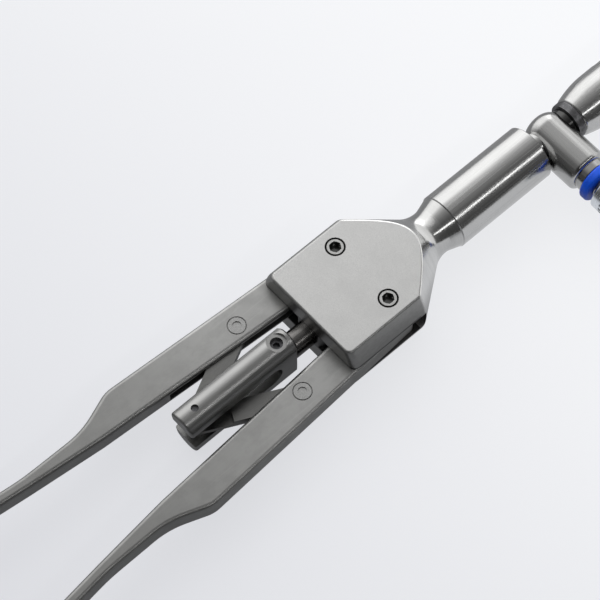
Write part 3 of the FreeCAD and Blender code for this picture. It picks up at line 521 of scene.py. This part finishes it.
def ridge_tree(material):
    """Fine rings in a row along X."""
    tree = Tree("collar_ridges", {"Radius": "NodeSocketFloat", "Crest": "NodeSocketFloat",
                                  "Count": "NodeSocketInt", "Pitch": "NodeSocketFloat"})
    step = tree.node("ShaderNodeCombineXYZ", None, {"X": tree.size("Pitch")})
    row = tree.node("GeometryNodeMeshLine", {"mode": "OFFSET"}, {
        "Count": tree.size("Count"), "Offset": step})
    hoop = tree.node("GeometryNodeCurvePrimitiveCircle", None, {
        "Resolution": 72, "Radius": tree.size("Radius")})
    crest = tree.node("GeometryNodeCurvePrimitiveCircle", None, {
        "Resolution": 8, "Radius": tree.size("Crest")})
    ring = tree.node("GeometryNodeCurveToMesh", None, {"Curve": hoop, "Profile Curve": crest})
    rings = tree.node("GeometryNodeInstanceOnPoints", None, {
        "Points": row, "Instance": ring, "Rotation": (0.0, math.radians(90.0), 0.0)})
    tree.close(rings, material)
    return tree


collar_low, collar_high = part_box("knob_collar")
ridge_count = 4
ridge_pitch = (collar_high.x - collar_low.x) / (ridge_count + 1)
ridge_crest = 0.13 * MM
ridge_sunk = 0.02 * MM         # the rings' centre line below the collar's skin
grown("collar_ridges", ridge_tree(finishes["collar_steel"]),
      {"Radius": (collar_high.y - collar_low.y) / 2.0 - ridge_sunk, "Crest": ridge_crest,
       "Count": ridge_count, "Pitch": ridge_pitch},
      "shaft",
      Matrix.Translation((collar_low.x + ridge_pitch, 0.0, AXIS_HEIGHT)))


# Studio, in metres

FLOOR_HALF = 3.0
FLOOR_BRIGHTENS = (-0.20, 0.14)    # the floor grows paler between these two X
CANOPY_RADIUS = 1.6
CANOPY_REACH = 2.2
PANEL_HALF = 1.7


def pale_floor():
    """Pale floor with a soft shadow; the camera sees it lifted towards white, mirror rays a little."""
    material, f = new_finish("studio_floor")
    here = f.parts(f.coordinates())
    along = here[0].rise(*FLOOR_BRIGHTENS)
    rays = f.add("ShaderNodeLightPath")
    mirrored = Wire(f, rays.outputs["Is Glossy Ray"]).most(Wire(f, rays.outputs["Is Transmission Ray"]))
    ahead_right = here[0].rise(8.0 * MM, 32.0 * MM) * here[1].rise(4.0 * MM, -4.0 * MM)
    mirrored = mirrored * (ahead_right * 0.62 + 0.26)
    seen = Wire(f, rays.outputs["Is Camera Ray"]).most(mirrored)
    diffuse = f.node("ShaderNodeBsdfDiffuse", None, {"Color": (0.20, 0.202, 0.208)})
    lift = f.mix(along, (0.56, 0.567, 0.60), (0.79, 0.797, 0.812))
    glow = f.node("ShaderNodeEmission", None, {"Color": lift, "Strength": seen})
    both = f.node("ShaderNodeAddShader", None, {0: diffuse, 1: glow})
    out = f.add("ShaderNodeOutputMaterial")
    f.tree.links.new(both.socket, out.inputs["Surface"])
    return material


def make_floor():
    half = FLOOR_HALF
    mesh = bpy.data.meshes.new("studio_floor")
    mesh.from_pydata([(-half, -half, 0.0), (half, -half, 0.0), (half, half, 0.0), (-half, half, 0.0)],
                     [], [(0, 1, 2, 3)])
    mesh.materials.append(pale_floor())
    floor = bpy.data.objects.new("studio_floor", mesh)
    bpy.context.scene.collection.objects.link(floor)


def canopy_finish():
    """Diffusing canopy: bright on the left, fading overhead, dark low on the right."""
    material, f = new_finish("studio_canopy")
    x, y, z = f.parts(f.coordinates())
    turn = f.node("ShaderNodeMath", {"operation": "ARCTAN2"}, {0: y * -1.0, 1: z})
    share = turn / math.pi + 0.5
    glow = f.node("ShaderNodeValToRGB", {"stops": [
        (0.00, (1.25,) * 3), (0.10, (1.75,) * 3), (0.27, (1.75,) * 3), (0.34, (0.92,) * 3),
        (0.42, (0.52,) * 3), (0.52, (0.30,) * 3), (0.62, (0.15,) * 3), (0.78, (0.10,) * 3),
        (1.00, (0.08,) * 3)]}, {"Fac": share})
    forward = x.rise(-1.4, 0.1) * 0.78 + x.rise(0.7, 1.8) * 0.6 + 0.22
    lamp = f.node("ShaderNodeEmission", None, {"Color": glow, "Strength": forward})
    out = f.add("ShaderNodeOutputMaterial")
    f.tree.links.new(lamp.socket, out.inputs["Surface"])
    return material


def make_canopy():
    """Half tunnel over the instrument; cameras look through it."""
    radius = CANOPY_RADIUS
    reach = CANOPY_REACH
    steps = 48
    points = []
    faces = []
    for i in range(steps + 1):
        angle = math.pi * i / steps - math.pi / 2.0
        for x in (-reach, reach):
            points.append((x, -radius * math.sin(angle), radius * math.cos(angle) + 0.02))
    for i in range(steps):
        faces.append((2 * i, 2 * i + 1, 2 * i + 3, 2 * i + 2))
    mesh = bpy.data.meshes.new("studio_canopy")
    mesh.from_pydata(points, [], faces)
    mesh.materials.append(canopy_finish())
    canopy = bpy.data.objects.new("studio_canopy", mesh)
    bpy.context.scene.collection.objects.link(canopy)
    canopy.visible_camera = False
    canopy.visible_shadow = False


def glowing_finish(name, level):
    material, f = new_finish(name)
    lamp = f.node("ShaderNodeEmission", None, {"Color": (level,) * 3, "Strength": 1.0})
    out = f.add("ShaderNodeOutputMaterial")
    f.tree.links.new(lamp.socket, out.inputs["Surface"])
    return material


def make_canopy_end(name, x, level):
    """Panel that closes one end of the half tunnel; cameras look through it."""
    mesh = bpy.data.meshes.new(name)
    half = PANEL_HALF
    mesh.from_pydata([(x, -half, 0.001), (x, half, 0.001), (x, half, half), (x, -half, half)],
                     [], [(0, 1, 2, 3)])
    mesh.materials.append(glowing_finish(name, level))
    panel = bpy.data.objects.new(name, mesh)
    bpy.context.scene.collection.objects.link(panel)
    panel.visible_camera = False
    panel.visible_shadow = False


def softbox(name, place, aim, width, height, power):
    lamp = bpy.data.lights.new(name, "AREA")
    lamp.shape = "RECTANGLE"
    lamp.size = width
    lamp.size_y = height
    lamp.energy = power
    holder = bpy.data.objects.new(name, lamp)
    holder.location = place
    holder.rotation_euler = (Vector(aim) - Vector(place)).to_track_quat("-Z", "Y").to_euler()
    bpy.context.scene.collection.objects.link(holder)
    return holder


def overhead_fill():
    """Broad soft lamp from above for the plain light level; mirror rays pass it by."""
    lamp = softbox("overhead_fill", (0.0, 0.25, 1.5), (0.0, 0.0, 0.0), 2.4, 2.4, 6.0)
    lamp.visible_glossy = False
    return lamp


def strip_lamp():
    """Narrow lamp along the instrument, high on its right."""
    tilt = math.radians(40.5)
    distance = 1.2
    place = (0.3, -distance * math.sin(tilt), distance * math.cos(tilt) + AXIS_HEIGHT)
    lamp = softbox("strip_lamp", place, (0.3, 0.0, AXIS_HEIGHT), 1.9, 0.09, 2.2)
    lamp.rotation_euler = (tilt, 0.0, 0.0)
    return lamp


def white_surround():
    world = bpy.data.worlds.new("studio_surround")
    bpy.context.scene.world = world
    world.use_nodes = True
    f = Finish(world.node_tree)
    rays = f.add("ShaderNodeLightPath")
    seen = Wire(f, rays.outputs["Is Camera Ray"]).most(Wire(f, rays.outputs["Is Glossy Ray"]))
    seen = seen.most(Wire(f, rays.outputs["Is Transmission Ray"]))
    around = f.node("ShaderNodeBackground", None, {
        "Color": (0.93, 0.94, 0.955), "Strength": seen * 0.5 + 0.5})
    out = f.add("ShaderNodeOutputWorld")
    f.tree.links.new(around.socket, out.inputs["Surface"])


def aim_camera():
    """Long lens, high behind the handle's right side."""
    azimuth = math.radians(-41.466)
    elevation = math.radians(62.851)
    roll = math.radians(-0.649)
    distance = 697.534 * MM
    leftward = 3.769 * MM
    upward = 6.873 * MM
    target = Vector((-16.24 * MM, 0.0, AXIS_HEIGHT))
    back = Vector((math.sin(azimuth) * math.cos(elevation), -math.cos(azimuth) * math.cos(elevation),
                   math.sin(elevation)))
    level = Vector((0.0, 0.0, 1.0)).cross(back).normalized()
    rise = back.cross(level)
    right = level * math.cos(roll) + rise * math.sin(roll)
    up = rise * math.cos(roll) - level * math.sin(roll)
    camera = bpy.data.cameras.new("photo_camera")
    camera.sensor_width = 36.0
    camera.lens = 162.43
    camera.clip_start = 0.05
    camera.clip_end = 20.0
    holder = bpy.data.objects.new("photo_camera", camera)
    bpy.context.scene.collection.objects.link(holder)
    place = target + back * distance - right * leftward + up * upward
    turn = Matrix((right, up, back)).transposed().to_4x4()
    holder.matrix_world = Matrix.Translation(place) @ turn
    bpy.context.scene.camera = holder


make_floor()
make_canopy()
make_canopy_end("studio_rear_end", -2.1, 0.10)
make_canopy_end("studio_front_end", 2.1, 1.15)
overhead_fill()
strip_lamp()
white_surround()
aim_camera()
bpy.context.scene.view_settings.view_transform = "Standard"
